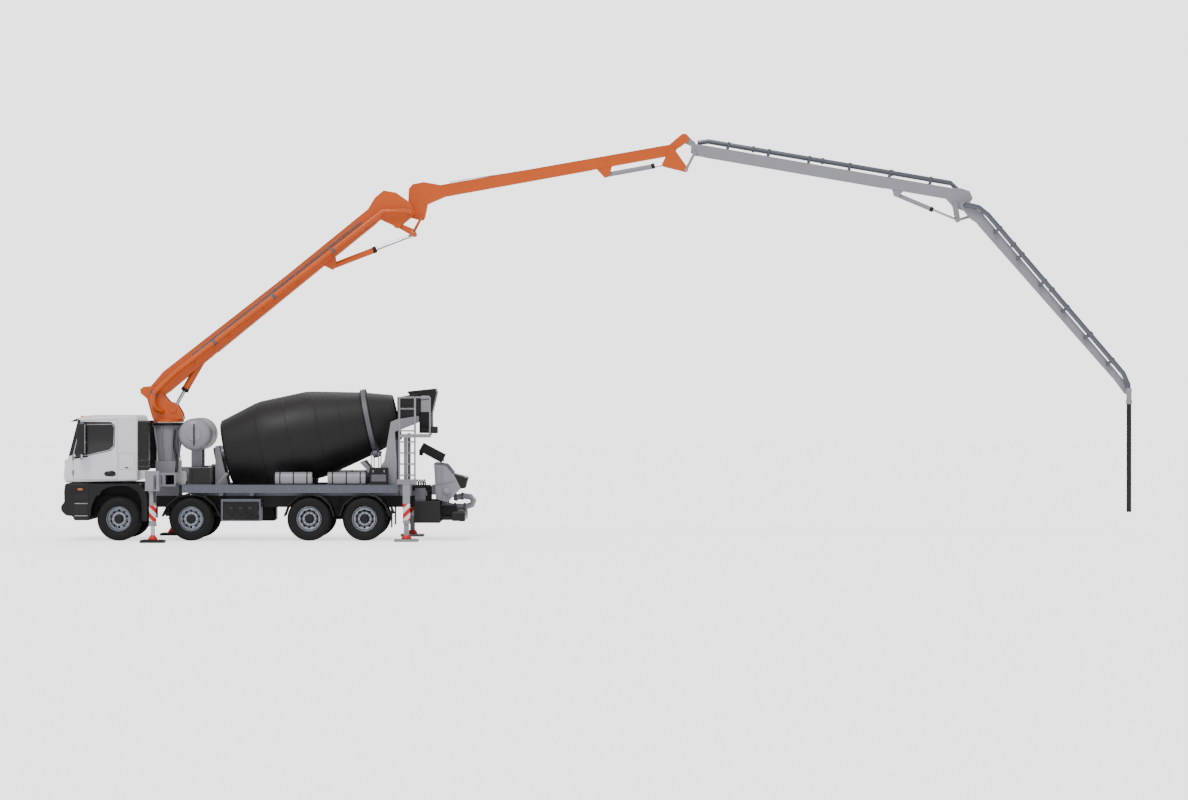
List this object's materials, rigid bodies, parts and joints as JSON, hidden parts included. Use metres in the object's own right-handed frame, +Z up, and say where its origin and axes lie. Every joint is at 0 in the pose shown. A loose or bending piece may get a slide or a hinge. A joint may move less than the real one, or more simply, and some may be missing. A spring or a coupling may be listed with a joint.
{
  "type": "concrete pump truck",
  "caption": "Truck mixer with a concrete pump and a folding placing boom on a slewing pedestal, with outriggers, tilted drum, charging hopper, chute and end hose.",
  "frame": {"origin": "ground level, middle of the whole machine's length and width at rest", "axes": "+X to the rear along the boom, -X the way the cab looks, +Y the truck's right side, +Z up"},
  "size_m": [26.283, 5, 10.03],
  "materials": {
    "aluminium": "brushed",
    "black_steel": "satin",
    "charcoal_paint": "satin",
    "chrome": "polished",
    "dark_plastic": "matte",
    "light_grey_paint": "satin",
    "orange_paint": "satin",
    "rubber": "matte",
    "seat_cloth": "matte",
    "tyre": "matte",
    "white_paint": "gloss"
  },
  "bodies": {
    "chassis": {"air_tank_rack": "aluminium", "cab_front": "dark_plastic", "cab_interior": "seat_cloth", "cab_shell": "white_paint", "chassis_frame": "black_steel", "drum_front_stand": "light_grey_paint", "drum_rear_stand": "light_grey_paint", "engine": "black_steel", "front_axle_1": "black_steel", "front_axle_2": "black_steel", "loading_hopper": "black_steel", "pedestal": "light_grey_paint", "pump_hopper": "light_grey_paint", "pump_unit": "dark_plastic", "rear_bogie": "black_steel", "side_deck": "aluminium", "water_tank": "light_grey_paint"},
    "turret": {"turret": "orange_paint"},
    "arm_1": {"arm_1": "orange_paint"},
    "arm_2": {"arm_2": "orange_paint"},
    "arm_3": {"arm_3": "light_grey_paint"},
    "arm_4": {"arm_4": "light_grey_paint"},
    "end_hose": {"end_elbow": "light_grey_paint", "end_hose": "rubber"},
    "rocker_2": {"rocker_2": "orange_paint"},
    "link_2": {"link_2": "orange_paint"},
    "cylinder_2_barrel": {"cylinder_2_barrel": "orange_paint"},
    "cylinder_2_rod": {"cylinder_2_rod": "chrome"},
    "rocker_3": {"rocker_3": "orange_paint"},
    "link_3": {"link_3": "light_grey_paint"},
    "cylinder_3_barrel": {"cylinder_3_barrel": "light_grey_paint"},
    "cylinder_3_rod": {"cylinder_3_rod": "chrome"},
    "rocker_4": {"rocker_4": "light_grey_paint"},
    "link_4": {"link_4": "light_grey_paint"},
    "cylinder_4_barrel": {"cylinder_4_barrel": "light_grey_paint"},
    "cylinder_4_rod": {"cylinder_4_rod": "chrome"},
    "cylinder_1_barrel": {"cylinder_1_barrel": "orange_paint"},
    "cylinder_1_rod": {"cylinder_1_rod": "chrome"},
    "knuckle_1_left": {"knuckle_1_left": "black_steel"},
    "wheel_1_left": {"wheel_1_left": "tyre"},
    "knuckle_1_right": {"knuckle_1_right": "black_steel"},
    "wheel_1_right": {"wheel_1_right": "tyre"},
    "knuckle_2_left": {"knuckle_2_left": "black_steel"},
    "wheel_2_left": {"wheel_2_left": "tyre"},
    "knuckle_2_right": {"knuckle_2_right": "black_steel"},
    "wheel_2_right": {"wheel_2_right": "tyre"},
    "wheel_3_left": {"wheel_3_left": "tyre"},
    "wheel_3_right": {"wheel_3_right": "tyre"},
    "wheel_4_left": {"wheel_4_left": "tyre"},
    "wheel_4_right": {"wheel_4_right": "tyre"},
    "door_left": {"door_left": "white_paint"},
    "door_right": {"door_right": "white_paint"},
    "drum": {"drum": "charcoal_paint"},
    "chute": {"chute": "black_steel"},
    "front_beam_left": {"front_beam_left": "light_grey_paint"},
    "front_foot_left": {"front_foot_left": "black_steel"},
    "rear_foot_left": {"rear_foot_left": "light_grey_paint"},
    "front_beam_right": {"front_beam_right": "light_grey_paint"},
    "front_foot_right": {"front_foot_right": "black_steel"},
    "rear_foot_right": {"rear_foot_right": "light_grey_paint"}
  },
  "joints": [
    {"name": "slew", "type": "hinge", "parent": "chassis", "child": "turret", "pos_m": [-10.65, 0, 2.88], "axis": [0, 0, 1], "range_deg": [-185, 185]},
    {"name": "boom_1_lift", "type": "hinge", "parent": "turret", "child": "arm_1", "pos_m": [-10.98, 0, 3.59], "axis": [0, -1, 0], "range_deg": [-29, 50]},
    {"name": "boom_2_fold", "type": "hinge", "parent": "arm_1", "child": "arm_2", "pos_m": [-4.675, 0.43, 8.06], "axis": [0, 1, 0], "range_deg": [-195, 5]},
    {"name": "boom_3_fold", "type": "hinge", "parent": "arm_2", "child": "arm_3", "pos_m": [2.085, 0.43, 9.91], "axis": [0, -1, 0], "range_deg": [-15, 198]},
    {"name": "boom_4_fold", "type": "hinge", "parent": "arm_3", "child": "arm_4", "pos_m": [9.014, 0.12, 8.226], "axis": [0, 1, 0], "range_deg": [-35, 135]},
    {"name": "tip_hose_swing", "type": "hinge", "parent": "arm_4", "child": "end_hose", "pos_m": [13.035, -0.18, 3.66], "axis": [0, 1, 0], "range_deg": [-170, 109]},
    {"name": "rocker_2_turn", "type": "hinge", "parent": "arm_1", "child": "rocker_2", "pos_m": [-5.01318, 0, 7.75895], "axis": [0, 1, 0], "range_deg": [-43.22, 1.11]},
    {"name": "link_2_turn", "type": "hinge", "parent": "rocker_2", "child": "link_2", "pos_m": [-4.60585, 0, 7.59418], "axis": [0, 1, 0], "range_deg": [-46.16, 1.18]},
    {"name": "cylinder_2_swing", "type": "hinge", "parent": "arm_1", "child": "cylinder_2_barrel", "pos_m": [-6.59212, 0, 6.73761], "axis": [0, 1, 0], "range_deg": [-7.8, 0.2]},
    {"name": "cylinder_2_stroke", "type": "slide", "parent": "cylinder_2_barrel", "child": "cylinder_2_rod", "axis": [0.933, 0, 0.36], "range_m": [-0.00523, 0.2]},
    {"name": "rocker_3_turn", "type": "hinge", "parent": "arm_2", "child": "rocker_3", "pos_m": [1.77704, 0.43, 9.64118], "axis": [0, -1, 0], "range_deg": [-7.79, 102.8]},
    {"name": "link_3_turn", "type": "hinge", "parent": "rocker_3", "child": "link_3", "pos_m": [2.13032, 0.43, 9.13446], "axis": [0, -1, 0], "range_deg": [-0.5, 6.61]},
    {"name": "cylinder_3_swing", "type": "hinge", "parent": "arm_2", "child": "cylinder_3_barrel", "pos_m": [0.15781, 0.43, 9.00935], "axis": [0, -1, 0], "range_deg": [-0.34, 4.49]},
    {"name": "cylinder_3_stroke", "type": "slide", "parent": "cylinder_3_barrel", "child": "cylinder_3_rod", "axis": [0.9841, 0, 0.1774], "range_m": [-0.04853, 0.6394]},
    {"name": "rocker_4_turn", "type": "hinge", "parent": "arm_3", "child": "rocker_4", "pos_m": [8.79528, 0.43, 8.29151], "axis": [0, 1, 0], "range_deg": [-26.22, 101.15]},
    {"name": "link_4_turn", "type": "hinge", "parent": "rocker_4", "child": "link_4", "pos_m": [8.86635, 0.43, 7.88523], "axis": [0, 1, 0], "range_deg": [-80.22, 20.8]},
    {"name": "cylinder_4_swing", "type": "hinge", "parent": "arm_3", "child": "cylinder_4_barrel", "pos_m": [7.35486, 0.43, 8.51603], "axis": [0, 1, 0], "range_deg": [-10.79, 2.8]},
    {"name": "cylinder_4_stroke", "type": "slide", "parent": "cylinder_4_barrel", "child": "cylinder_4_rod", "axis": [0.9229, 0, -0.3851], "range_m": [-0.5877, 0.15244]},
    {"name": "cylinder_1_swing", "type": "hinge", "parent": "arm_1", "child": "cylinder_1_barrel", "pos_m": [-9.90521, 0, 4.26986], "axis": [0, -1, 0], "range_deg": [-5.25, 3.05]},
    {"name": "cylinder_1_stroke", "type": "slide", "parent": "cylinder_1_barrel", "child": "cylinder_1_rod", "axis": [-0.5018, 0, -0.865], "range_m": [-0.2738, 0.47199]},
    {"name": "steer_1_left", "type": "hinge", "parent": "chassis", "child": "knuckle_1_left", "pos_m": [-11.74, -0.8, 0.505], "axis": [0, 0, 1], "range_deg": [-38, 38]},
    {"name": "wheel_1_left_spin", "type": "hinge", "parent": "knuckle_1_left", "child": "wheel_1_left", "pos_m": [-11.74, -1, 0.535], "axis": [0, 1, 0], "continuous": true},
    {"name": "steer_1_right", "type": "hinge", "parent": "chassis", "child": "knuckle_1_right", "pos_m": [-11.74, 0.8, 0.505], "axis": [0, 0, 1], "range_deg": [-38.02, 38.02]},
    {"name": "wheel_1_right_spin", "type": "hinge", "parent": "knuckle_1_right", "child": "wheel_1_right", "pos_m": [-11.74, 1, 0.535], "axis": [0, 1, 0], "continuous": true},
    {"name": "steer_2_left", "type": "hinge", "parent": "chassis", "child": "knuckle_2_left", "pos_m": [-9.98, -0.8, 0.505], "axis": [0, 0, 1], "range_deg": [-24.71, 24.71]},
    {"name": "wheel_2_left_spin", "type": "hinge", "parent": "knuckle_2_left", "child": "wheel_2_left", "pos_m": [-9.98, -1, 0.535], "axis": [0, 1, 0], "continuous": true},
    {"name": "steer_2_right", "type": "hinge", "parent": "chassis", "child": "knuckle_2_right", "pos_m": [-9.98, 0.8, 0.505], "axis": [0, 0, 1], "range_deg": [-24.71, 24.71]},
    {"name": "wheel_2_right_spin", "type": "hinge", "parent": "knuckle_2_right", "child": "wheel_2_right", "pos_m": [-9.98, 1, 0.535], "axis": [0, 1, 0], "continuous": true},
    {"name": "wheel_3_left_spin", "type": "hinge", "parent": "chassis", "child": "wheel_3_left", "pos_m": [-7.1, -0.9, 0.535], "axis": [0, 1, 0], "continuous": true},
    {"name": "wheel_3_right_spin", "type": "hinge", "parent": "chassis", "child": "wheel_3_right", "pos_m": [-7.1, 0.9, 0.535], "axis": [0, 1, 0], "continuous": true},
    {"name": "wheel_4_left_spin", "type": "hinge", "parent": "chassis", "child": "wheel_4_left", "pos_m": [-5.75, -0.9, 0.535], "axis": [0, 1, 0], "continuous": true},
    {"name": "wheel_4_right_spin", "type": "hinge", "parent": "chassis", "child": "wheel_4_right", "pos_m": [-5.75, 0.9, 0.535], "axis": [0, 1, 0], "continuous": true},
    {"name": "door_left_open", "type": "hinge", "parent": "chassis", "child": "door_left", "pos_m": [-12.87, -1.15, 1.5], "axis": [0, 0, -1], "range_deg": [0, 70]},
    {"name": "door_right_open", "type": "hinge", "parent": "chassis", "child": "door_right", "pos_m": [-12.87, 1.15, 1.5], "axis": [0, 0, 1], "range_deg": [0, 70]},
    {"name": "drum_spin", "type": "hinge", "parent": "chassis", "child": "drum", "pos_m": [-9.215, 0, 2.117], "axis": [0.9781, 0, 0.2079], "continuous": true},
    {"name": "chute_swing", "type": "hinge", "parent": "chassis", "child": "chute", "pos_m": [-4.42, 0, 2.3], "axis": [0, 0, 1], "range_deg": [-55, 55]},
    {"name": "front_beam_left_slide", "type": "slide", "parent": "chassis", "child": "front_beam_left", "axis": [0, 1, 0], "range_m": [0, 0.87]},
    {"name": "front_foot_left_lift", "type": "slide", "parent": "front_beam_left", "child": "front_foot_left", "axis": [0, 0, 1], "range_m": [-0.1, 0.19]},
    {"name": "rear_foot_left_lift", "type": "slide", "parent": "chassis", "child": "rear_foot_left", "axis": [0, 0, 1], "range_m": [-0.1, 0.26]},
    {"name": "front_beam_right_slide", "type": "slide", "parent": "chassis", "child": "front_beam_right", "axis": [0, -1, 0], "range_m": [0, 0.87]},
    {"name": "front_foot_right_lift", "type": "slide", "parent": "front_beam_right", "child": "front_foot_right", "axis": [0, 0, 1], "range_m": [-0.1, 0.19]},
    {"name": "rear_foot_right_lift", "type": "slide", "parent": "chassis", "child": "rear_foot_right", "axis": [0, 0, 1], "range_m": [-0.1, 0.26]}
  ],
  "couplings": [
    {"joint": "rocker_2_turn", "follows": "boom_2_fold", "ratio": 0.22151},
    {"joint": "link_2_turn", "follows": "boom_2_fold", "ratio": 0.23662},
    {"joint": "cylinder_2_swing", "follows": "boom_2_fold", "ratio": 0.039962},
    {"joint": "cylinder_2_stroke", "follows": "boom_2_fold", "m_per_rad": -0.058707},
    {"joint": "rocker_3_turn", "follows": "boom_3_fold", "ratio": 0.51893},
    {"joint": "link_3_turn", "follows": "boom_3_fold", "ratio": 0.033342},
    {"joint": "cylinder_3_swing", "follows": "boom_3_fold", "ratio": 0.022646},
    {"joint": "cylinder_3_stroke", "follows": "boom_3_fold", "m_per_rad": 0.1849},
    {"joint": "rocker_4_turn", "follows": "boom_4_fold", "ratio": 0.74888},
    {"joint": "link_4_turn", "follows": "boom_4_fold", "ratio": -0.59389},
    {"joint": "cylinder_4_swing", "follows": "boom_4_fold", "ratio": -0.079886},
    {"joint": "cylinder_4_stroke", "follows": "boom_4_fold", "m_per_rad": -0.24926},
    {"joint": "cylinder_1_swing", "follows": "boom_1_lift", "ratio": -0.105},
    {"joint": "cylinder_1_stroke", "follows": "boom_1_lift", "m_per_rad": 0.54048},
    {"joint": "steer_1_right", "follows": "steer_1_left", "ratio": 1},
    {"joint": "steer_2_left", "follows": "steer_1_left", "ratio": 0.65},
    {"joint": "steer_2_right", "follows": "steer_1_left", "ratio": 0.65}
  ]
}
